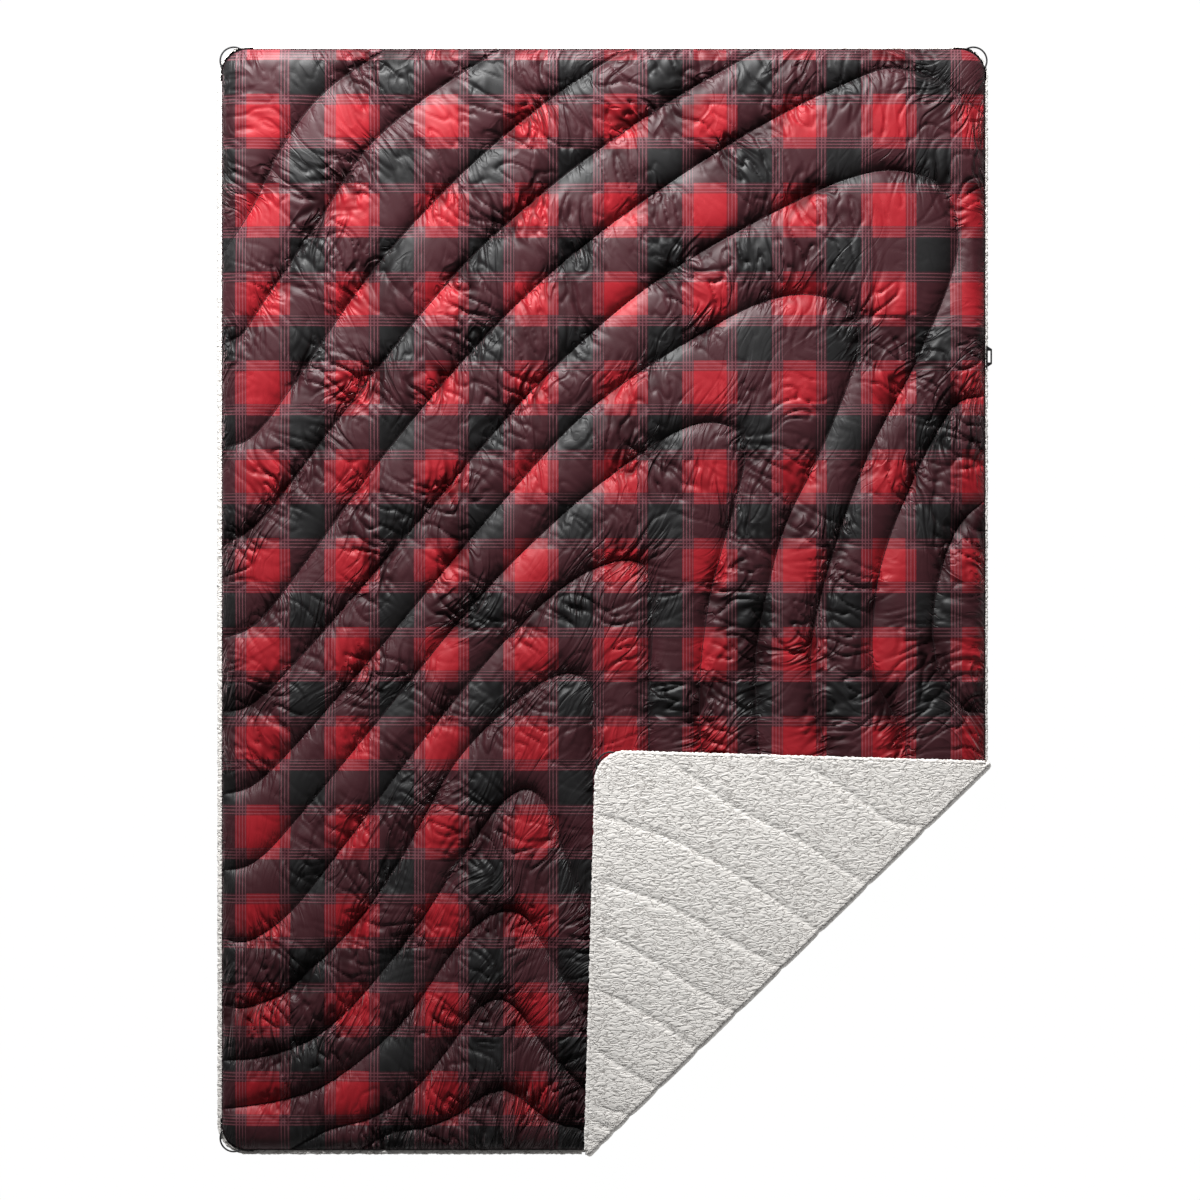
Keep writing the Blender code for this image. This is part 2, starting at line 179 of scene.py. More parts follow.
# --- Quilting rows -------------------------------------------------------------------------
# The rows of stitching that hold face, insulation and back together. They sweep across the
# sheet in nested curves and make its channels. Where the cloth goes, and its fold, is here too.
face_low, face_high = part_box("face_shell_main")
back_low, back_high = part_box("sherpa_back_main")
SHEET_CENTRE = (np.array(face_low[:2]) + np.array(face_high[:2])) / 2
SHEET_SIZE = np.array(face_high[:2]) - np.array(face_low[:2])
BACK_TOP = back_high[2]
CORNER_RADIUS = 0.045
NO_GAP = 1e-6  # nearer than this is the same place

fold = next(joint for joint in frame["joints"] if joint["name"] == "corner_fold")
HINGE_POINT = np.array(fold["pos_m"][:2])
HINGE_HEIGHT = fold["pos_m"][2]
HINGE_ALONG = np.array(fold["axis"][:2])
HINGE_NORMAL = np.array([HINGE_ALONG[1], -HINGE_ALONG[0]])

QUILT_ROWS = {  # thousandths of the sheet's width and length, from its lower left corner
    "quilt_01": ((214, 1000), (131, 959), (79, 911), (37, 853), (0, 814)),
    "quilt_02": ((364, 1000), (265, 955), (189, 909), (126, 843), (52, 768), (24, 740), (0, 732)),
    "quilt_03": ((528, 1000), (425, 952), (307, 882), (197, 798), (84, 686), (55, 659), (31, 644),
                 (0, 638)),
    "quilt_04": ((705, 1000), (574, 947), (439, 880), (317, 804), (180, 689), (60, 580), (34, 562),
                 (0, 549)),
    "quilt_05": ((1000, 940), (941, 971), (879, 983), (817, 969), (685, 922), (491, 831),
                 (364, 753), (221, 639), (104, 529), (58, 488), (31, 472), (0, 465)),
    "quilt_06": ((1000, 57), (982, 76), (938, 121), (895, 183), (848, 235), (812, 300), (793, 362),
                 (776, 408), (772, 454), (788, 511), (845, 628), (911, 718), (957, 796), (965, 828),
                 (957, 860), (932, 880), (882, 890), (827, 884), (718, 850), (562, 786), (423, 702),
                 (260, 573), (104, 449), (58, 416), (31, 402), (0, 397)),
    "quilt_07": ((921, 0), (885, 78), (823, 155), (779, 200), (738, 262), (708, 335), (700, 408),
                 (701, 456), (716, 511), (738, 567), (779, 626), (817, 689), (835, 732),
                 (823, 764), (771, 777), (712, 771), (626, 741), (482, 673), (364, 586),
                 (257, 498), (161, 419), (58, 341), (31, 328), (0, 323)),
    "quilt_08": ((836, 0), (805, 66), (761, 124), (708, 198), (658, 271), (632, 344), (626, 417),
                 (637, 493), (655, 545), (674, 591), (685, 632), (675, 653), (642, 661),
                 (600, 654), (495, 605), (404, 550), (322, 490), (210, 395), (104, 306),
                 (54, 268), (29, 257), (0, 254)),
    "quilt_09": ((771, 0), (729, 58), (671, 126), (623, 198), (581, 271), (562, 344), (560, 417),
                 (564, 473), (562, 509), (552, 531), (531, 536), (495, 530), (450, 513),
                 (381, 470), (273, 381), (161, 278), (89, 216), (50, 195), (26, 189), (0, 192)),
    "quilt_10": ((695, 0), (657, 56), (628, 85), (567, 162), (524, 235), (495, 317), (489, 372),
                 (488, 404), (478, 426), (456, 433), (423, 426), (356, 390), (305, 351),
                 (232, 262), (172, 203), (119, 166), (73, 140), (26, 129), (0, 132)),
    "quilt_11": ((617, 0), (567, 60), (528, 134), (489, 197), (452, 262), (426, 312), (400, 328),
                 (371, 318), (324, 276), (249, 197), (156, 121), (109, 98), (54, 85), (0, 81)),
    "quilt_12": ((542, 0), (516, 70), (473, 124), (417, 191), (398, 211), (375, 218), (350, 213),
                 (309, 186), (242, 121), (189, 86), (134, 59), (76, 45), (0, 37)),
    "quilt_13": ((525, 0), (490, 42), (418, 98), (383, 130), (362, 138), (339, 131), (292, 88),
                 (244, 50), (191, 28), (142, 19), (89, 0)),
    "quilt_14": ((505, 0), (474, 18), (430, 27), (385, 50), (364, 55), (341, 49), (305, 31),
                 (266, 21), (220, 15), (181, 0)),
    "side_quilt_1": ((1000, 685), (967, 680), (941, 657), (873, 552), (856, 500), (856, 431),
                     (885, 388), (911, 326), (924, 263), (950, 237), (978, 205), (1000, 180)),
    "side_quilt_2": ((1000, 590), (970, 571), (944, 530), (932, 477), (938, 440), (954, 416),
                     (972, 400), (1000, 397)),
}


def smooth_row(points, samples=40, step=0.0005):
    """Evenly spaced places on the smooth curve through a row's points."""
    stops = (np.array(points) / 1000 - 0.5) * SHEET_SIZE + SHEET_CENTRE
    stops = [2 * stops[0] - stops[1], *stops, 2 * stops[-1] - stops[-2]]
    parts = []
    for a, b, c, d in zip(stops, stops[1:], stops[2:], stops[3:]):
        t1 = np.linalg.norm(b - a) ** 0.5
        t2 = t1 + np.linalg.norm(c - b) ** 0.5
        t3 = t2 + np.linalg.norm(d - c) ** 0.5
        t = np.linspace(t1, t2, samples, endpoint=False)[:, None]
        ab = a + (b - a) * t / t1
        bc = b + (c - b) * (t - t1) / (t2 - t1)
        cd = c + (d - c) * (t - t2) / (t3 - t2)
        inner = ab + (bc - ab) * t / t2
        outer = bc + (cd - bc) * (t - t1) / (t3 - t1)
        parts.append(inner + (outer - inner) * (t - t1) / (t2 - t1))
    return evenly(np.vstack([*parts, stops[-2][None]]), step)


def evenly(path, step):
    """The path again, with its points about step apart."""
    travelled = np.r_[0, np.cumsum(np.linalg.norm(np.diff(path, axis=0), axis=1))]
    wanted = np.linspace(0, travelled[-1], max(2, round(travelled[-1] / step) + 1))
    return np.stack([np.interp(wanted, travelled, column) for column in path.T], axis=1)


def past_hinge(places):
    """How far places on the open sheet are past the hinge line; the corner's are above 0."""
    return (places[:, :2] - HINGE_POINT) @ HINGE_NORMAL


def inside_edge(places, reach=0.0):
    """How far places are inside the outline that lies reach outside the seam."""
    radius = CORNER_RADIUS + reach
    over = np.abs(places[:, :2] - SHEET_CENTRE) - (SHEET_SIZE / 2 - CORNER_RADIUS)
    outside = np.hypot(*np.maximum(over, 0).T)
    return radius - outside - np.minimum(over.max(axis=1), 0)


def fold_over(places, over=None):
    """Places of the open sheet, those past the hinge (or over) half a turn about it."""
    past = past_hinge(places)
    over = np.broadcast_to(past > 0 if over is None else over, past.shape)
    folded = places.copy()
    folded[over, :2] -= 2 * past[over, None] * HINGE_NORMAL
    folded[over, 2] = 2 * HINGE_HEIGHT - folded[over, 2]
    return folded


rows = {name: smooth_row(points) for name, points in QUILT_ROWS.items()}
row_places = np.vstack(list(rows.values()))
row_ways = np.vstack([np.gradient(path, axis=0) for path in rows.values()])
row_ways /= np.linalg.norm(row_ways, axis=1)[:, None]
row_tree = KDTree(len(row_places))
for number, place in enumerate(row_places):
    row_tree.insert((*place, 0), number)
row_tree.balance()


def nearest_on_rows(places):
    """For each place, the distance to the nearest row and the number of the point there."""
    found = [row_tree.find((x, y, 0)) for x, y in places[:, :2]]
    return np.array([hit[2] for hit in found]), np.array([hit[1] for hit in found])


# --- Quilted face --------------------------------------------------------------------------
# Thin woven ripstop polyester over a sheet of hollow fibre. Each row of stitching pulls it down
# to the back, the fibre lifts it between the rows, and the spare cloth gathers in creases that
# cross each channel. It is one piece of cloth, so it bends at the folded corner's hinge.
FACE_GRID = 0.003
SEAM_HEIGHT = 0.0085
EDGE_HEIGHT = BACK_TOP + 0.0011
CHANNEL_LOFT = 0.0150
CHANNEL_ROUNDING = 0.017
HIGHEST_FACE = HINGE_HEIGHT - 0.0003
OPEN_HEADROOM = 0.005
PRESSED_ROUNDING = 0.0015
EDGE_SLOPE = 0.02  # a row's groove sinks to the edge's level over this length
CREASE_LEAN = 0.4
CREASE_EVENING = 0.012
CREASE_DRIFT = 0.32
CREASE_WANDER = 0.010
PATCH_SIZE = 0.03
LONG_CREASE = (0.0056, 0.042, 0.0050)  # width, reach and depth
MID_CREASE = (0.0036, 0.026, 0.0009)
SHORT_CREASE = (0.0018, 0.010, 0.0004)
LUMP_HEIGHT = 0.0006

columns, lines = (np.round(SHEET_SIZE / FACE_GRID).astype(int) + 1)
grid_x, grid_y = np.meshgrid(
    np.linspace(face_low[0], face_high[0], columns),
    np.linspace(face_low[1], face_high[1], lines),
    indexing="ij",
)
places = np.stack([grid_x.ravel(), grid_y.ravel()], axis=1)

# Points next to a row or to the rounded outline move onto it, and the rest even out.
row_distance, nearest = nearest_on_rows(places)
on_seam = row_distance < 0.5 * FACE_GRID
places[on_seam] = row_places[nearest[on_seam]]
corner_middle = SHEET_CENTRE + np.sign(places - SHEET_CENTRE) * (SHEET_SIZE / 2 - CORNER_RADIUS)
from_middle = places - corner_middle
in_corner = (from_middle * np.sign(places - SHEET_CENTRE)).min(axis=1) > 0
near_outline = in_corner & (np.abs(inside_edge(places)) < 0.5 * FACE_GRID)
stretch = CORNER_RADIUS / np.maximum(np.linalg.norm(from_middle, axis=1), 1e-9)
places[near_outline] = (corner_middle + from_middle * stretch[:, None])[near_outline]
on_border = inside_edge(places) < NO_GAP
held = (on_seam | on_border).reshape(columns, lines)
held[[0, -1], :] = True
held[:, [0, -1]] = True
evened = places.reshape(columns, lines, 2).copy()
for _ in range(12):
    around = (evened[:-2, 1:-1] + evened[2:, 1:-1] + evened[1:-1, :-2] + evened[1:-1, 2:]) / 4
    loose = ~held[1:-1, 1:-1, None]
    evened[1:-1, 1:-1] += np.where(loose, 0.6 * (around - evened[1:-1, 1:-1]), 0)
places = evened.reshape(-1, 2)
row_distance, nearest = nearest_on_rows(places)
edge_distance = np.maximum(inside_edge(places), 0)
seam_distance = np.minimum(row_distance, edge_distance)

# The loft of the channels: a skin held down at every seam and pushed up between them.
loft = np.zeros((columns, lines))
pull = (FACE_GRID / CHANNEL_ROUNDING) ** 2
for _ in range(420):
    around = loft[:-2, 1:-1] + loft[2:, 1:-1] + loft[1:-1, :-2] + loft[1:-1, 2:]
    loft[1:-1, 1:-1] = np.where(held[1:-1, 1:-1], 0, (around + pull) / (4 + pull))
loft = loft.ravel() * CHANNEL_LOFT
straight_rise = CHANNEL_LOFT / CHANNEL_ROUNDING * 0.95 * seam_distance
share = np.clip(seam_distance / (2.5 * FACE_GRID), 0, 1)
loft = np.where(share < 1, straight_rise * (1 - share) + loft * share, loft)


def blurred(field, radius):
    """The field averaged over about that radius, in metres, by a bell curve."""
    turns_x = np.fft.fftfreq(field.shape[0], FACE_GRID)[:, None]
    turns_y = np.fft.rfftfreq(field.shape[1], FACE_GRID)[None, :]
    fall = np.exp(-2 * (math.pi * radius) ** 2 * (turns_x**2 + turns_y**2))
    return np.fft.irfft2(np.fft.rfft2(field) * fall, s=field.shape)


def sampled(field, at_x, at_y):
    """The field's values at fractional grid places."""
    at_x = np.clip(at_x, 0, field.shape[0] - 1.001)
    at_y = np.clip(at_y, 0, field.shape[1] - 1.001)
    low_x, low_y = at_x.astype(int), at_y.astype(int)
    part_x, part_y = at_x - low_x, at_y - low_y
    low = field[low_x, low_y] * (1 - part_x) + field[low_x + 1, low_y] * part_x
    high = field[low_x, low_y + 1] * (1 - part_x) + field[low_x + 1, low_y + 1] * part_x
    return low * (1 - part_y) + high * part_y


# Creases cross each channel from seam to seam. Their direction is that of the slope up from
# the nearest seam, evened out over the channel, with some drift to either side.
dice = np.random.default_rng(11)
slope_x, slope_y = np.gradient(seam_distance.reshape(columns, lines), FACE_GRID)
doubled_cos = blurred(slope_x**2 - slope_y**2, CREASE_EVENING)
doubled_sin = blurred(2 * slope_x * slope_y, CREASE_EVENING)
drift = blurred(dice.normal(size=(columns, lines)), PATCH_SIZE)
drift *= CREASE_DRIFT / drift.std()
crease_angle = np.arctan2(doubled_sin, doubled_cos) / 2 + drift
turn_cos, turn_sin = np.cos(2 * crease_angle), np.sin(2 * crease_angle)
agreed = np.clip(np.hypot(doubled_cos, doubled_sin).ravel() / 0.6, 0.15, 1)


def drawn_out(field, reach):
    """The field smeared along the crease direction, both ways, and set to unit spread."""
    start_x, start_y = np.meshgrid(np.arange(columns), np.arange(lines), indexing="ij")
    total = field.copy()
    weight = 1.0
    steps = max(2, round(reach / FACE_GRID))
    for way in (-1, 1):
        at_x, at_y = start_x.astype(float), start_y.astype(float)
        go_x, go_y = way * np.cos(crease_angle), way * np.sin(crease_angle)
        for step in range(steps):
            at_x, at_y = at_x + go_x, at_y + go_y
            part = 0.5 + 0.5 * math.cos(math.pi * (step + 1) / (steps + 1))
            total += part * sampled(field, at_x, at_y)
            weight += part
            angle = np.arctan2(sampled(turn_sin, at_x, at_y), sampled(turn_cos, at_x, at_y)) / 2
            new_x, new_y = np.cos(angle), np.sin(angle)
            same = np.sign(new_x * go_x + new_y * go_y)
            go_x, go_y = new_x * same, new_y * same
    total /= weight
    return total / total.std()


def fresh_noise(radius):
    return blurred(dice.normal(size=(columns, lines)), radius)


def slope_matched(field_x, field_y):
    """The heights whose slope comes nearest to the field, mirrored past the grid's ends."""
    wide_x = np.block([[field_x, field_x[:, ::-1]], [-field_x[::-1], -field_x[::-1, ::-1]]])
    wide_y = np.block([[field_y, -field_y[:, ::-1]], [field_y[::-1], -field_y[::-1, ::-1]]])
    turn_x = 2 * math.pi * np.fft.fftfreq(wide_x.shape[0], FACE_GRID)[:, None]
    turn_y = 2 * math.pi * np.fft.rfftfreq(wide_x.shape[1], FACE_GRID)[None, :]
    square = turn_x**2 + turn_y**2
    square[0, 0] = 1
    heights = -1j * (turn_x * np.fft.rfft2(wide_x) + turn_y * np.fft.rfft2(wide_y)) / square
    return np.fft.irfft2(heights, s=wide_x.shape)[:columns, :lines]


# How far along the rows each place is, in metres: creases are the lines where it stays the same.
along_x, along_y = (blurred(way.reshape(columns, lines), 0.014) for way in row_ways[nearest].T)
steady = np.maximum(np.hypot(along_x, along_y), 0.25)
along_rows = slope_matched(along_x / steady, along_y / steady).ravel()
wander = fresh_noise(0.035).ravel()
along_rows += CREASE_WANDER * wander / wander.std() + CREASE_LEAN * places[:, 1]

long_creases, mid_creases, short_creases = (
    drawn_out(fresh_noise(width), reach).ravel()
    for width, reach, _ in (LONG_CREASE, MID_CREASE, SHORT_CREASE)
)
patches = fresh_noise(PATCH_SIZE).ravel()
patches = np.clip(0.75 + 0.45 * patches / patches.std(), 0.15, 1.5)
lumps = fresh_noise(0.022).ravel()
lumps /= lumps.std()

held_down = 1 - np.exp(-seam_distance / 0.004)
near_seam = np.exp(-seam_distance / 0.012)
long_fold = 0.35 - np.exp(-np.abs(long_creases) / 0.30)
mid_fold = 0.35 - np.exp(-np.abs(mid_creases) / 0.32)
creasing = (LONG_CREASE[2] * long_fold + MID_CREASE[2] * mid_fold) * patches * agreed
creasing += SHORT_CREASE[2] * near_seam * short_creases
creasing = creasing * held_down + LUMP_HEIGHT * lumps * held_down


def seam_level(edge_distance):
    """The height of a groove's bottom at that distance inside the edge."""
    share = np.clip(edge_distance / EDGE_SLOPE, 0, 1)
    return EDGE_HEIGHT + (SEAM_HEIGHT - EDGE_HEIGHT) * share


height = seam_level(edge_distance) + loft + creasing

# Under the folded corner, and on it, the two faces press each other flat where they meet.
past = past_hinge(places)
mirrored = places - 2 * past[:, None] * HINGE_NORMAL
clear_of_corner = np.where(past < 0, np.clip(-inside_edge(mirrored) / 0.025, 0, 1), 0)
ceiling = HIGHEST_FACE + OPEN_HEADROOM * clear_of_corner
over_ceiling = height - ceiling + PRESSED_ROUNDING
rounded = ceiling - PRESSED_ROUNDING * np.exp(-over_ceiling / PRESSED_ROUNDING)
height = np.where(over_ceiling > 0, rounded, height)
height = np.maximum(height, EDGE_HEIGHT)


def cells_within(shape, inside):
    """The cells of a grid that are inside, three-sided where one corner is outside."""
    index = np.arange(shape[0] * shape[1]).reshape(shape)
    quads = np.stack([index[:-1, :-1], index[1:, :-1], index[1:, 1:], index[:-1, 1:]], -1)
    quads = quads.reshape(-1, 4)
    kept = inside[quads]
    whole = quads[kept.all(axis=1)].tolist()
    part = kept.sum(axis=1) == 3
    clipped = [quad[keep].tolist() for quad, keep in zip(quads[part], kept[part])]
    return whole + clipped


def mesh_from(name, vertices, faces, fields=()):
    """A mesh of those faces only, without the vertices that none of them uses."""
    used = np.unique(np.fromiter((vertex for face in faces for vertex in face), int))
    renumber = np.full(len(vertices), -1)
    renumber[used] = np.arange(len(used))
    mesh = bpy.data.meshes.new(name)
    mesh.from_pydata(vertices[used].tolist(), [], [renumber[face].tolist() for face in faces])
    for field, values in dict(fields).items():
        mesh.attributes.new(field, "FLOAT", "POINT").data.foreach_set("value", values[used])
    return mesh


face_mesh = mesh_from(
    "face", np.column_stack([places, height]),
    cells_within((columns, lines), inside_edge(places) >= -NO_GAP),
    {"along_rows": along_rows, "near_seam": near_seam, "patches": patches},
)


def close_below(mesh, level):
    """Closes an open sheet by a short wall down from its outline and a flat underside."""
    body = bmesh.new()
    body.from_mesh(mesh)
    rim = [edge for edge in body.edges if edge.is_boundary]
    walls = bmesh.ops.extrude_edge_only(body, edges=rim)["geom"]
    for item in walls:
        if isinstance(item, bmesh.types.BMVert):
            item.co.z = level
    bottom_rim = [item for item in walls if isinstance(item, bmesh.types.BMEdge)]
    underside = bmesh.ops.contextual_create(body, geom=bottom_rim)["faces"]
    for side in (-1, 1):
        plane = HINGE_POINT + side * 0.0002 * HINGE_NORMAL
        parts = set(underside)
        parts.update(edge for face in underside for edge in face.edges)
        parts.update(vertex for face in underside for vertex in face.verts)
        cut = bmesh.ops.bisect_plane(
            body, geom=list(parts), plane_co=(*plane, 0), plane_no=(*HINGE_NORMAL, 0)
        )
        underside = [
            item for item in cut["geom"] if isinstance(item, bmesh.types.BMFace) and item.is_valid
        ]
    bmesh.ops.recalc_face_normals(body, faces=body.faces)
    body.to_mesh(mesh)
    body.free()


def finish_sheet(name, mesh, material):
    """Records the open sheet as a UV map in metres, folds the corner over and shades smooth."""
    flat = coordinates(mesh)
    corners = np.empty(len(mesh.loops), dtype=int)
    mesh.loops.foreach_get("vertex_index", corners)
    uv = mesh.uv_layers.new(name="sheet")
    uv.data.foreach_set("uv", flat[corners, :2].ravel())
    mesh.vertices.foreach_set("co", fold_over(flat).ravel())
    mesh.update()
    return add_piece(name, mesh, material), flat


# Printed plaid on a calendered polyester: a smooth, close weave whose face has a soft gloss.
PLAID_ACROSS = 0.15456
PLAID_ALONG = 0.15351
RED_CENTRE_X = -0.5925
RED_CENTRE_Y = 0.8266
RED_SHARE = 0.367
LINE_MIDDLES = (0.388, 0.426, 0.466, 0.884, 0.918, 0.952, 0.986)
LINE_HALF_WIDTH = 0.0055
LINE_STRENGTH = 0.3
RED_CLOTH = linear("#a2061a")
MIXED_CLOTH = linear("#3a0814")
BLACK_CLOTH = linear("#08080a")
LINE_CLOTH = linear("#a8606c")
CLOTH_SHINE = 0.5
CREASE_RELIEF = 0.0042
# How bright the cloth's colour and gloss stay at a crease's bottom under the painted shade.
PAINTED_SHADE_IN_CREASE = 0.25

plaid, plaid_shader = new_material(
    "woven ripstop polyester, plaid print",
    {
        "Roughness": 0.57,
        "Sheen Weight": 0.2,
        "Sheen Roughness": 0.4,
        "Sheen Tint": linear("#f0c8cc"),
    },
)
sheet_map = add_node(plaid, "ShaderNodeUVMap", {"uv_map": "sheet"})
apart = add_node(plaid, "ShaderNodeSeparateXYZ", links={0: sheet_map.outputs[0]})
bands, thin_lines = [], []
band_stops = ((0.0, 1.0), (RED_SHARE, 0.5), (0.487, 0.0), (0.868, 0.5))
line_stops = [(0.0, 0.0)]
for middle in LINE_MIDDLES:
    line_stops += [(middle - LINE_HALF_WIDTH, 1.0), (middle + LINE_HALF_WIDTH, 0.0)]
repeats = ((PLAID_ACROSS, RED_CENTRE_X), (PLAID_ALONG, RED_CENTRE_Y))
for axis, (period, centre) in enumerate(repeats):
    offset = RED_SHARE / 2 - centre / period
    repeat = maths(plaid, "MULTIPLY_ADD", apart.outputs[axis], 1 / period, offset)
    place_in_repeat = maths(plaid, "FRACT", repeat)
    for stops, made in ((band_stops, bands), (line_stops, thin_lines)):
        levels = add_node(plaid, "ShaderNodeValToRGB", links={0: place_in_repeat})
        ramp = levels.color_ramp
        ramp.interpolation = "CONSTANT"
        ramp.elements.remove(ramp.elements[1])
        for number, (position, value) in enumerate(stops):
            element = ramp.elements[0] if number == 0 else ramp.elements.new(position)
            element.position = position
            element.color = (value, value, value, 1)
        made.append(levels.outputs[0])
half = maths(plaid, "MULTIPLY", maths(plaid, "ADD", *bands), 0.5)
cloth_colour = add_node(plaid, "ShaderNodeValToRGB", links={0: half})
cloth_colour.color_ramp.elements[0].color = BLACK_CLOTH
cloth_colour.color_ramp.elements[1].color = RED_CLOTH
middle = cloth_colour.color_ramp.elements.new(0.5)
middle.color = MIXED_CLOTH
line_share = maths(plaid, "MULTIPLY", maths(plaid, "ADD", *thin_lines, clamp=True), LINE_STRENGTH)
with_lines = add_node(
    plaid, "ShaderNodeMix", {"data_type": "RGBA", 7: LINE_CLOTH},
    {0: line_share, 6: cloth_colour.outputs[0]},
)

# The finest creases, too narrow for the mesh: thin folds that start at the rows and run
# out across the channels, given as relief. Their depth also darkens the cloth's colour and
# gloss: painted shade at the bottom of the creases.
run_along = add_node(plaid, "ShaderNodeAttribute", {"attribute_name": "along_rows"})
by_seam = add_node(plaid, "ShaderNodeAttribute", {"attribute_name": "near_seam"})
by_patch = add_node(plaid, "ShaderNodeAttribute", {"attribute_name": "patches"})
crease_depths = []
for spacing, reach, width, taper, offset in (
    (0.0190, 0.120, 0.100, 0.22, 0.0),
    (0.0120, 0.060, 0.090, 0.50, 7.0),
    (0.0070, 0.020, 0.090, 1.3, 13.0),
):
    run_scaled = maths(plaid, "MULTIPLY_ADD", run_along.outputs["Fac"], 1 / spacing, offset)
    sheet_scaled = add_node(
        plaid, "ShaderNodeVectorMath",
        {"operation": "MULTIPLY_ADD", 1: (1 / reach, 1 / reach, 0), 2: (offset, offset, 0)},
        {0: sheet_map.outputs[0]},
    )
    parts = add_node(plaid, "ShaderNodeSeparateXYZ", links={0: sheet_scaled.outputs[0]})
    crease_place = add_node(
        plaid, "ShaderNodeCombineXYZ",
        links={0: parts.outputs[0], 1: parts.outputs[1], 2: run_scaled},
    )
    swell = add_node(
        plaid, "ShaderNodeTexNoise", {"Scale": 1.0, "Detail": 1.0, "Roughness": 0.4},
        {"Vector": crease_place.outputs[0]},
    )
    size = maths(plaid, "ABSOLUTE", maths(plaid, "SUBTRACT", swell.outputs[0], 0.5))
    groove = add_node(
        plaid, "ShaderNodeMapRange",
        {"interpolation_type": "SMOOTHSTEP", 1: 0.0, 2: width, 3: 1.0, 4: 0.0}, {0: size},
    )
    fading = maths(plaid, "POWER", by_seam.outputs["Fac"], taper)
    crease_depths.append(maths(plaid, "MULTIPLY", groove.outputs[0], fading))
deepest = maths(plaid, "MAXIMUM", maths(plaid, "MAXIMUM", *crease_depths[:2]), crease_depths[2])
crease_depth = maths(plaid, "MULTIPLY", deepest, by_patch.outputs["Fac"], clamp=True)
add_relief(plaid, plaid_shader, crease_depth, CREASE_RELIEF, 1.0, inward=True)
# The deeper the crease, the darker the colour and the lower the gloss, to a quarter at most:
# painted shade.
painted_crease_shade = add_node(
    plaid, "ShaderNodeMapRange", {1: 0.0, 2: 1.0, 3: 1.0, 4: PAINTED_SHADE_IN_CREASE}, {0: crease_depth}
)
colour_with_painted_shade = add_node(
    plaid, "ShaderNodeVectorMath", {"operation": "SCALE"},
    {0: with_lines.outputs[2], "Scale": painted_crease_shade.outputs[0]},
)
plaid.node_tree.links.new(colour_with_painted_shade.outputs[0], plaid_shader.inputs["Base Color"])
shine = maths(plaid, "MULTIPLY", painted_crease_shade.outputs[0], CLOTH_SHINE)
plaid.node_tree.links.new(shine, plaid_shader.inputs["Specular IOR Level"])

close_below(face_mesh, BACK_TOP + 0.0003)
quilted_face, face_flat = finish_sheet("quilted_face", face_mesh, plaid)
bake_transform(quilted_face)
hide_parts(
    "face_shell_main", "face_shell_corner", "insulation_main", "insulation_corner"
)


# --- Quilting thread -----------------------------------------------------------------------
# Dark corespun polyester, sewn through face, fibre and back in a lockstitch of about 3.6 mm. It
# lies at the bottom of each groove and dips into the cloth between two stitches. The runs on
# the folded corner are pieces of their own, because they turn with it.
STITCH = 0.0036
RINGS_PER_STITCH = 3
THREAD_RADIUS = 0.00048
SHORTEST_RUN = 60  # points of a row, half a millimetre apart


def tube(name, path, radius, sides, material, width=1.0):
    """A closed tube of that radius along a level path, with UVs in metres."""
    ahead = np.gradient(path, axis=0)
    ahead /= np.linalg.norm(ahead, axis=1)[:, None]
    aside = np.cross(ahead, (0, 0, 1))
    aside /= np.linalg.norm(aside, axis=1)[:, None]
    upward = np.cross(aside, ahead)
    angles = np.arange(sides) * 2 * math.pi / sides
    rings = path[:, None] + radius * (
        width * np.cos(angles)[None, :, None] * aside[:, None]
        + np.sin(angles)[None, :, None] * upward[:, None]
    )
    count = len(path)
    first = np.arange(count - 1)[:, None] * sides
    side = np.arange(sides)[None]
    after = (side + 1) % sides
    quads = np.stack([first + side, first + sides + side, first + sides + after, first + after], -1)
    ends = [list(range(sides)), [(count - 1) * sides + k for k in range(sides)][::-1]]
    mesh = bpy.data.meshes.new(name)
    mesh.from_pydata(rings.reshape(-1, 3).tolist(), [], quads.reshape(-1, 4).tolist() + ends)
    travelled = np.r_[0, np.cumsum(np.linalg.norm(np.diff(path, axis=0), axis=1))]
    around = 2 * math.pi * radius / sides
    along = np.broadcast_to(first // sides, (count - 1, sides))
    turn = np.broadcast_to(side, (count - 1, sides))
    near, far = travelled[along], travelled[along + 1]
    u = np.stack([near, far, far, near], -1)
    v = np.stack([turn, turn, turn + 1, turn + 1], -1) * around
    uv = mesh.uv_layers.new(name="run")
    values = np.zeros((len(mesh.loops), 2))
    values[:u.size] = np.stack([u.ravel(), v.ravel()], axis=1)
    uv.data.foreach_set("uv", values.ravel())
    return add_piece(name, mesh, material)


def longest_run(path, wanted):
    """The longest unbroken stretch of a path where wanted is true."""
    breaks = np.flatnonzero(np.diff(np.r_[False, wanted, False].astype(int)))
    starts, ends = breaks[::2], breaks[1::2]
    if len(starts) == 0:
        return path[:0]
    best = np.argmax(ends - starts)
    return path[starts[best]:ends[best]]


def stitched(run, level):
    """The run with its height: at the level, and lower between two stitches."""
    fine = evenly(run, STITCH / RINGS_PER_STITCH)
    rise = np.where(np.arange(len(fine)) % RINGS_PER_STITCH == 0, -0.0003, 0.00025)
    return np.column_stack([fine, level(fine) + rise])


# Spun thread: a fine twist, drawn wider than it is so that it can be seen, and a dull finish.
thread, thread_shader = new_material(
    "corespun polyester thread",
    {"Base Color": linear("#1c0a10"), "Roughness": 0.75, "Specular IOR Level": 0.3},
)
run_map = add_node(thread, "ShaderNodeUVMap", {"uv_map": "run"})
twist = add_node(
    thread, "ShaderNodeMapping", {"Rotation": (0, 0, 0.6)}, {"Vector": run_map.outputs[0]}
)
ply = add_node(
    thread, "ShaderNodeTexWave", {"wave_type": "BANDS", "Scale": 320}, {"Vector": twist.outputs[0]}
)
add_relief(thread, thread_shader, ply.outputs[1], 0.0002, 0.5)

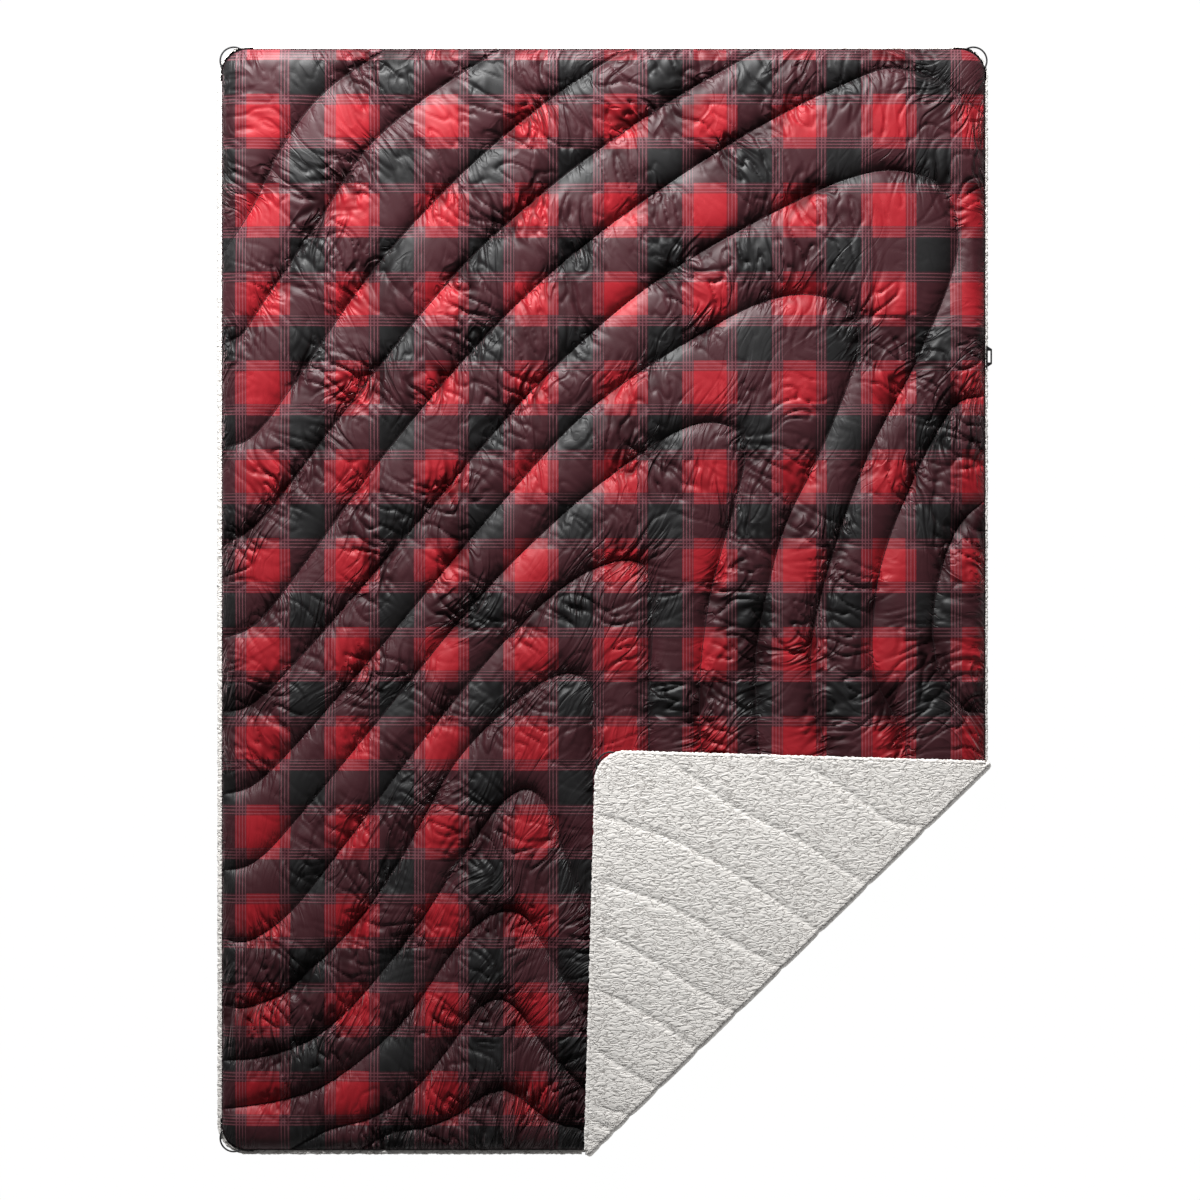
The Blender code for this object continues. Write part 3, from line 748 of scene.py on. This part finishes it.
for row, path in rows.items():
    past = past_hinge(path)
    inside = inside_edge(path) > 0.0008
    for body, prefix, here in (
        ("blanket_sheet", "", inside & (past < -0.002)),
        ("folded_corner", "corner_", inside & (past > 0.002)),
    ):
        run = longest_run(path, here)
        if len(run) < SHORTEST_RUN:
            continue
        route = fold_over(stitched(run, lambda run: seam_level(inside_edge(run)) + 0.0003))
        piece = tube(f"stitching_{prefix}{row}", route, THREAD_RADIUS, 5, thread, width=1.25)
        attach(piece, body)
        if prefix + row in frame["nodes"]:
            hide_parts(prefix + row)

# --- Edge seam -----------------------------------------------------------------------------
# Face and back are sewn together all round, the face's raw edge turned in. From above it is
# a narrow dark line of stitches between the plaid and the pile.
EDGE_THREAD_REACH = 0.0002


def outline(reach, step):
    """Places round the outline that lies reach outside the seam, from the bottom right corner."""
    radius = CORNER_RADIUS + reach
    ring = []
    for turn, (side_x, side_y) in zip((-90, 0, 90, 180), ((1, -1), (1, 1), (-1, 1), (-1, -1))):
        middle = SHEET_CENTRE + np.array([side_x, side_y]) * (SHEET_SIZE / 2 - CORNER_RADIUS)
        angles = np.radians(turn + np.linspace(0, 90, 25))
        ring.append(middle + radius * np.stack([np.cos(angles), np.sin(angles)], axis=1))
    ring = np.vstack([*ring, ring[0][:1]])
    return evenly(ring, step)


def stretch_of_outline(reach, step, side, gap):
    """The outline's part on the main sheet, side -1, or the corner, side 1, less the gap."""
    ring = outline(reach, step)[:-1]
    farthest = np.argmin(side * past_hinge(ring))
    ring = np.roll(ring, -farthest, axis=0)
    return longest_run(ring, side * past_hinge(ring) > gap)


for body, half, side in (("blanket_sheet", "main", -1), ("folded_corner", "corner", 1)):
    run = stretch_of_outline(EDGE_THREAD_REACH, 0.0005, side, 0.0012)
    route = fold_over(stitched(run, lambda run: np.full(len(run), BACK_TOP + 0.0009)), side > 0)
    piece = tube(f"edge_stitching_{half}", route, 0.0006, 5, thread, width=1.3)
    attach(piece, body)
    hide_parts(f"edge_thread_{half}")

# --- Sherpa back ---------------------------------------------------------------------------
# Knitted polyester fleece whose pile is curled into small tufts. It is drawn in along every row
# of stitching. The main part is seen only at its edge and from below; the folded corner shows
# its whole back, and the back bends round the fold in one piece.
PILE_DEPTH = 0.0009
ROW_DRAW = 0.0026
ROW_DRAW_WIDTH = 0.0065
RIM_ROUNDING = 0.006
LOOP_ROOM = 0.0014
TUFTS_FROM_RIM = 0.004
TUFT = (0.0088, 0.0052, 0.0065)


def tufts(points):
    """How deep the pile is below its tips, from 0 at a tuft's top to 1 between tufts."""
    depth = np.empty(len(points))
    scaled = points / np.array(TUFT)
    for number, (x, y, z) in enumerate(scaled.tolist()):
        large = abs(noise.noise((x, y, z))) * 2.4
        small = abs(noise.noise((x * 1.9 + 31, y * 1.9, z * 1.9))) * 2.4
        depth[number] = 0.6 * min(1, large) ** 0.6 + 0.4 * min(1, small) ** 0.7
    return 1 - depth


def back_thickness(places, rim_distance):
    """The back's thickness: round at its rim and drawn in along the rows."""
    from_row, _ = nearest_on_rows(places)
    draw = ROW_DRAW * np.exp(-from_row / ROW_DRAW_WIDTH) * np.clip(rim_distance / 0.03, 0, 1)
    rim = np.sqrt(1 - (1 - np.clip(rim_distance / RIM_ROUNDING, 0, 1)) ** 2)
    return (BACK_TOP - draw) * rim


# Sherpa: matt and off-white, with painted shade that greys it in the crevices between the tufts.
sherpa, sherpa_shader = new_material(
    "curled polyester sherpa fleece",
    {"Roughness": 0.95, "Specular IOR Level": 0.15, "Sheen Weight": 0.3, "Sheen Roughness": 0.6},
)
sherpa_place = add_node(sherpa, "ShaderNodeTexCoord")
curl_place = add_node(
    sherpa, "ShaderNodeMapping", {"Scale": (1 / 0.0165, 1 / 0.0075, 1 / 0.011)},
    {"Vector": sherpa_place.outputs["Object"]},
)
curls = add_node(
    sherpa, "ShaderNodeTexNoise",
    {"Scale": 1.0, "Detail": 2.0, "Roughness": 0.5, "Distortion": 0.5},
    {"Vector": curl_place.outputs[0]},
)
tuft_rise = maths(sherpa, "ABSOLUTE", maths(sherpa, "SUBTRACT", curls.outputs[0], 0.5))
pile_colour_with_painted_shade = add_node(sherpa, "ShaderNodeValToRGB", links={0: tuft_rise})
# The first colour is painted shade between the tufts; the second is the pile's own off-white.
pile_colour_with_painted_shade.color_ramp.elements[0].color = linear("#a39d98")
pile_colour_with_painted_shade.color_ramp.elements[1].position = 0.030
pile_colour_with_painted_shade.color_ramp.elements[1].color = linear("#faf6f1")
sherpa.node_tree.links.new(pile_colour_with_painted_shade.outputs[0], sherpa_shader.inputs["Base Color"])
add_relief(sherpa, sherpa_shader, maths(sherpa, "POWER", tuft_rise, 0.6), 0.0022, 1.0)


def onto_outline(places, reach, near):
    """Moves the places that are nearly on the outline onto it."""
    away = np.sign(places - SHEET_CENTRE)
    over = np.abs(places - SHEET_CENTRE) - (SHEET_SIZE / 2 - CORNER_RADIUS)
    radius = CORNER_RADIUS + reach
    moved = over.copy()
    both = over.min(axis=1) > 0
    moved[both] *= (radius / np.linalg.norm(over[both], axis=1))[:, None]
    first = ~both & (over[:, 0] > over[:, 1])
    second = ~both & ~first
    moved[first, 0] = radius
    moved[second, 1] = radius
    target = SHEET_CENTRE + away * (moved + SHEET_SIZE / 2 - CORNER_RADIUS)
    close = np.abs(inside_edge(places, reach)) < near
    return np.where(close[:, None], target, places)


# The main sheet's back, from below the fold line to the far corners.
BACK_GRID = 0.0056
SHERPA_REACH = (back_high[0] - back_low[0] - SHEET_SIZE[0]) / 2
extent = SHEET_SIZE / 2 + SHERPA_REACH
counts = np.round(2 * extent / BACK_GRID).astype(int) + 1
back_x, back_y = np.meshgrid(
    *(SHEET_CENTRE[k] + np.linspace(-extent[k], extent[k], counts[k]) for k in (0, 1)),
    indexing="ij",
)
places = onto_outline(
    np.stack([back_x.ravel(), back_y.ravel()], axis=1), SHERPA_REACH, 0.5 * BACK_GRID
)
rim_distance = np.maximum(inside_edge(places, SHERPA_REACH), 0)
thickness = back_thickness(places, rim_distance)
depth = tufts(np.column_stack([places, np.zeros(len(places))]))
tuft_room = np.clip(rim_distance / TUFTS_FROM_RIM, 0, 1)
under_height = BACK_TOP - thickness + PILE_DEPTH * depth * tuft_room
within = inside_edge(places, SHERPA_REACH) > -NO_GAP
back_mesh = mesh_from(
    "back", np.column_stack([places, under_height]), cells_within(tuple(counts), within)
)
body = bmesh.new()
body.from_mesh(back_mesh)
bmesh.ops.bisect_plane(
    body, geom=body.verts[:] + body.edges[:] + body.faces[:], plane_co=(*HINGE_POINT, 0),
    plane_no=(*HINGE_NORMAL, 0), clear_outer=True,
)
rim = [edge for edge in body.edges if edge.is_boundary]
walls = bmesh.ops.extrude_edge_only(body, edges=rim)["geom"]
for item in walls:
    if isinstance(item, bmesh.types.BMVert):
        item.co.z = BACK_TOP - LOOP_ROOM
bmesh.ops.contextual_create(
    body, geom=[item for item in walls if isinstance(item, bmesh.types.BMEdge)]
)
bmesh.ops.remove_doubles(body, verts=body.verts, dist=NO_GAP)
bmesh.ops.recalc_face_normals(body, faces=body.faces)
body.to_mesh(back_mesh)
body.free()
sherpa_back = add_piece("sherpa_back", back_mesh, sherpa)
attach(sherpa_back, "blanket_sheet")
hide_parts("sherpa_back_main")

# The back of the folded corner and the bend, on a grid that runs along the fold line.
FLAP_GRID = 0.0024
BEND_REACH = 0.0105
bend_length = math.pi * math.sqrt((HINGE_HEIGHT**2 + BEND_REACH**2) / 2)
bend_steps = round(bend_length / FLAP_GRID)
beyond = past_hinge(outline(SHERPA_REACH, 0.01)).max()
flap_steps = math.ceil(beyond / FLAP_GRID)
along_ring = outline(SHERPA_REACH, 0.0002)
crossings = along_ring[np.flatnonzero(np.diff(np.sign(past_hinge(along_ring))))]
ends = np.sort((crossings - HINGE_POINT) @ HINGE_ALONG)
along_count = round((ends[-1] - ends[0]) / FLAP_GRID) + 1
along = np.linspace(ends[0], ends[-1], along_count)
off = np.arange(-bend_steps, flap_steps + 1) * FLAP_GRID
along_grid, off_grid = (grid.ravel() for grid in np.meshgrid(along, off, indexing="ij"))
on_flap = off_grid > 1e-9
level_off = np.where(on_flap, off_grid, 0)
places = HINGE_POINT + along_grid[:, None] * HINGE_ALONG + level_off[:, None] * HINGE_NORMAL
moved = onto_outline(places, SHERPA_REACH, 0.5 * FLAP_GRID)
places = np.where(on_flap[:, None], moved, places)
end_distance = np.minimum(along_grid - ends[0], ends[-1] - along_grid)
rim_distance = np.where(
    on_flap, inside_edge(places, SHERPA_REACH),
    np.minimum(end_distance, inside_edge(places, SHERPA_REACH)),
)
within = rim_distance > -NO_GAP
rim_distance = np.maximum(rim_distance, 0)
thickness = back_thickness(places, rim_distance)

bend_share = np.clip(-off_grid / (bend_steps * FLAP_GRID), 0, 1)
bend_angle = math.pi * (0.5 - bend_share)
outward = np.column_stack([
    np.cos(bend_angle)[:, None] * HINGE_NORMAL * HINGE_HEIGHT, np.sin(bend_angle) * BEND_REACH
])
outward /= np.linalg.norm(outward, axis=1)[:, None]
flap_surface = fold_over(np.column_stack([places, np.zeros(len(places))]))
bend_surface = np.column_stack([
    places + (BEND_REACH * np.cos(bend_angle))[:, None] * HINGE_NORMAL,
    HINGE_HEIGHT * (1 + np.sin(bend_angle)),
])
surface = np.where(on_flap[:, None], flap_surface, bend_surface)
outward[on_flap] = (0, 0, 1)
depth = tufts(surface)
tuft_room = np.clip(rim_distance / TUFTS_FROM_RIM, 0, 1)
sink = BACK_TOP - thickness + PILE_DEPTH * depth * tuft_room
surface -= outward * sink[:, None]
cells = cells_within((along_count, len(off)), within)
inner_top = np.column_stack([
    HINGE_POINT + along[:, None] * HINGE_ALONG, np.full(along_count, 2 * HINGE_HEIGHT - BACK_TOP)
])
inner_bottom = inner_top.copy()
inner_bottom[:, 2] = BACK_TOP
start = len(surface)
first = np.arange(along_count - 1)
top_line, bottom_line = start + first, start + along_count + first
wall = np.stack([top_line, top_line + 1, bottom_line + 1, bottom_line], axis=1)
lowest = first * len(off)
sole = np.stack([bottom_line, bottom_line + 1, lowest + len(off), lowest], axis=1)
flap_vertices = np.vstack([surface, inner_top, inner_bottom])
flap_mesh = mesh_from("flap", flap_vertices, cells + wall.tolist() + sole.tolist())
body = bmesh.new()
body.from_mesh(flap_mesh)
bmesh.ops.remove_doubles(body, verts=body.verts, dist=2e-5)
bmesh.ops.holes_fill(body, edges=[edge for edge in body.edges if edge.is_boundary], sides=0)
bmesh.ops.recalc_face_normals(body, faces=body.faces)
body.to_mesh(flap_mesh)
body.free()
points = coordinates(flap_mesh)
sherpa_corner = add_piece("sherpa_corner", flap_mesh, sherpa)
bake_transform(sherpa_corner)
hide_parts("sherpa_back_corner", "fold_roll")

# The pile that stands out past the seam, longer at the left and the bottom than at the top.
BORDER_REACH = 0.0030
BORDER_GAP = 0.0036
BORDER_STEP = 0.0023
BORDER_SIDES = 12
BORDER_RADIUS = 0.0031
BORDER_WIDTH = 1.45
BORDER_SHIFT = np.array([-0.0016, -0.0014])
for body, half, side in (("blanket_sheet", "main", -1), ("folded_corner", "corner", 1)):
    run = stretch_of_outline(BORDER_REACH, BORDER_STEP, side, BORDER_GAP)
    if side < 0:
        run = run + BORDER_SHIFT
    route = np.column_stack([run, np.full(len(run), BORDER_RADIUS + 0.0002)])
    border = tube(f"pile_border_{half}", route, BORDER_RADIUS, BORDER_SIDES, sherpa, BORDER_WIDTH)
    points = coordinates(border.data)
    middle = np.repeat(route, BORDER_SIDES, axis=0)
    points = middle + (points - middle) * (1.22 - 0.62 * tufts(points))[:, None]
    past_rounding = np.abs(points[:, :2] - SHEET_CENTRE) - (SHEET_SIZE / 2 - CORNER_RADIUS - 0.01)
    at_loop = past_rounding.min(axis=1) > 0
    top = np.where(at_loop, BACK_TOP - LOOP_ROOM, BACK_TOP + 0.0016)
    points[:, 2] = np.clip(points[:, 2], 0.0002, top)
    border.data.vertices.foreach_set("co", fold_over(points, side > 0).ravel())
    border.data.update()
    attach(border, body)

# --- Corner loops --------------------------------------------------------------------------
# Short lengths of 3 mm braided nylon cord, caught by both ends in the edge seam, one at each
# corner, so that the blanket can be staked out or tied up. The fourth is on the folded corner.
CORD_RADIUS = 0.0015
LOOP_REACH = 0.0142
LOOP_ROOT_REACH = 0.0029
LOOP_ROOT_ANGLE = math.radians(28)
LOOP_TAIL = 0.0008
CORD_HEIGHT = BACK_TOP + 0.0018

# Braided nylon: two sets of strands cross in a fine herringbone, with a low shine.
cord_nylon, cord_shader = new_material(
    "braided nylon cord",
    {"Base Color": linear("#17171a"), "Roughness": 0.55, "Specular IOR Level": 0.45},
)
cord_map = add_node(cord_nylon, "ShaderNodeUVMap", {"uv_map": "run"})
strands = []
for lean in (0.9, -0.9):
    turned_map = add_node(
        cord_nylon, "ShaderNodeMapping", {"Rotation": (0, 0, lean)}, {"Vector": cord_map.outputs[0]}
    )
    strands.append(add_node(
        cord_nylon, "ShaderNodeTexWave", {"wave_type": "BANDS", "Scale": 240},
        {"Vector": turned_map.outputs[0]},
    ))
crossing = maths(cord_nylon, "MAXIMUM", *(strand.outputs[1] for strand in strands))
add_relief(cord_nylon, cord_shader, crossing, 0.0003, 0.7)

for loop, side_x, side_y in (
    ("loop_top_left", -1, 1),
    ("loop_top_right", 1, 1),
    ("loop_bottom_left", -1, -1),
    ("loop_folded_corner", 1, -1),
):
    middle = SHEET_CENTRE + np.array([side_x, side_y]) * (SHEET_SIZE / 2 - CORNER_RADIUS)
    outward_way = np.array([side_x, side_y]) / math.sqrt(2)
    sideways = np.array([-outward_way[1], outward_way[0]])
    root = CORNER_RADIUS + LOOP_ROOT_REACH
    half_chord = root * math.sin(LOOP_ROOT_ANGLE)
    sagitta = CORNER_RADIUS + LOOP_REACH - root * math.cos(LOOP_ROOT_ANGLE)
    arc_radius = (half_chord**2 + sagitta**2) / (2 * sagitta)
    arc_middle = middle + outward_way * (CORNER_RADIUS + LOOP_REACH - arc_radius)
    half_turn = math.atan2(half_chord, arc_radius - sagitta)
    angles = np.linspace(-half_turn, half_turn, 41)
    arc = arc_middle + arc_radius * (
        np.cos(angles)[:, None] * outward_way + np.sin(angles)[:, None] * sideways
    )
    tails = np.array([arc[0] - arc[1], arc[-1] - arc[-2]])
    tails *= LOOP_TAIL / np.linalg.norm(tails, axis=1)[:, None]
    arc = np.vstack([arc[0] + tails[0], arc, arc[-1] + tails[1]])
    route = fold_over(np.column_stack([arc, np.full(len(arc), CORD_HEIGHT)]))
    piece = tube(f"cord_{loop}", route, CORD_RADIUS, 12, cord_nylon)
    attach(piece, loop)
    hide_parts(loop)

# --- Side tab ------------------------------------------------------------------------------
# A small flat tab of moulded nylon with a slot for a tape, held in the right-hand edge seam. It
# is wider at the seam, its edges are rounded by the mould, and the slot's ends are round.
TAB_SLOT = (0.0044, 0.020)
TAB_TIP_WALL = 0.0028
TAB_TIP_SHARE = 26 / 39

tab_low, tab_high = (np.array(end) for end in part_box("side_tab"))
tab_middle, tab_size = (tab_low + tab_high) / 2, tab_high - tab_low
bpy.ops.object.select_all(action="DESELECT")
bpy.ops.mesh.primitive_cube_add(size=1, location=tab_middle, scale=tab_size)
tab = bpy.context.object
tab.name = "slotted_tab"
bpy.ops.object.transform_apply(location=True, rotation=True, scale=True)
bpy.ops.object.mode_set(mode="EDIT")
shape = bmesh.from_edit_mesh(tab.data)
for vertex in shape.verts:
    vertex.select = vertex.co.x > tab_middle[0]
shape.select_flush(True)
bmesh.update_edit_mesh(tab.data)
bpy.ops.transform.resize(value=(1, TAB_TIP_SHARE, 1), center_override=tuple(tab_middle))
bpy.ops.object.mode_set(mode="OBJECT")

slot_middle = (tab_high[0] - TAB_TIP_WALL - TAB_SLOT[0] / 2, tab_middle[1], tab_middle[2])
bpy.ops.object.select_all(action="DESELECT")
bpy.ops.mesh.primitive_cube_add(size=1, location=slot_middle, scale=(*TAB_SLOT, 0.006))
cutter = bpy.context.object
bpy.ops.object.transform_apply(location=True, rotation=True, scale=True)
bpy.ops.object.mode_set(mode="EDIT")
shape = bmesh.from_edit_mesh(cutter.data)
for edge in shape.edges:
    edge.select = abs(edge.verts[0].co.z - edge.verts[1].co.z) > 0.003
bmesh.update_edit_mesh(cutter.data)
bpy.ops.mesh.bevel(offset=0.0018, segments=6)
bpy.ops.object.mode_set(mode="OBJECT")
bpy.ops.object.select_all(action="DESELECT")
bpy.context.view_layer.objects.active = tab
tab.select_set(True)
cut = tab.modifiers.new("slot", "BOOLEAN")
cut.operation = "DIFFERENCE"
cut.object = cutter
bpy.ops.object.modifier_apply(modifier="slot")
bpy.data.objects.remove(cutter)
rounding = tab.modifiers.new("moulded edges", "BEVEL")
rounding.width = 0.0004
rounding.segments = 3
rounding.limit_method = "ANGLE"
bpy.ops.object.modifier_apply(modifier="moulded edges")
bpy.ops.object.shade_smooth_by_angle(angle=math.radians(40))

# Moulded nylon: black, a fine spark-eroded grain that dulls it, a little gloss at the edges.
nylon, nylon_shader = new_material(
    "moulded black nylon",
    {"Base Color": linear("#141416"), "Roughness": 0.42, "Specular IOR Level": 0.5},
)
nylon_place = add_node(nylon, "ShaderNodeTexCoord")
grain = add_node(
    nylon, "ShaderNodeTexNoise", {"Scale": 2200.0, "Detail": 2.0},
    {"Vector": nylon_place.outputs["Object"]},
)
add_relief(nylon, nylon_shader, grain.outputs[0], 0.0001, 0.25)
tab.data.materials.append(nylon)
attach(tab, "side_tab")
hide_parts("side_tab")
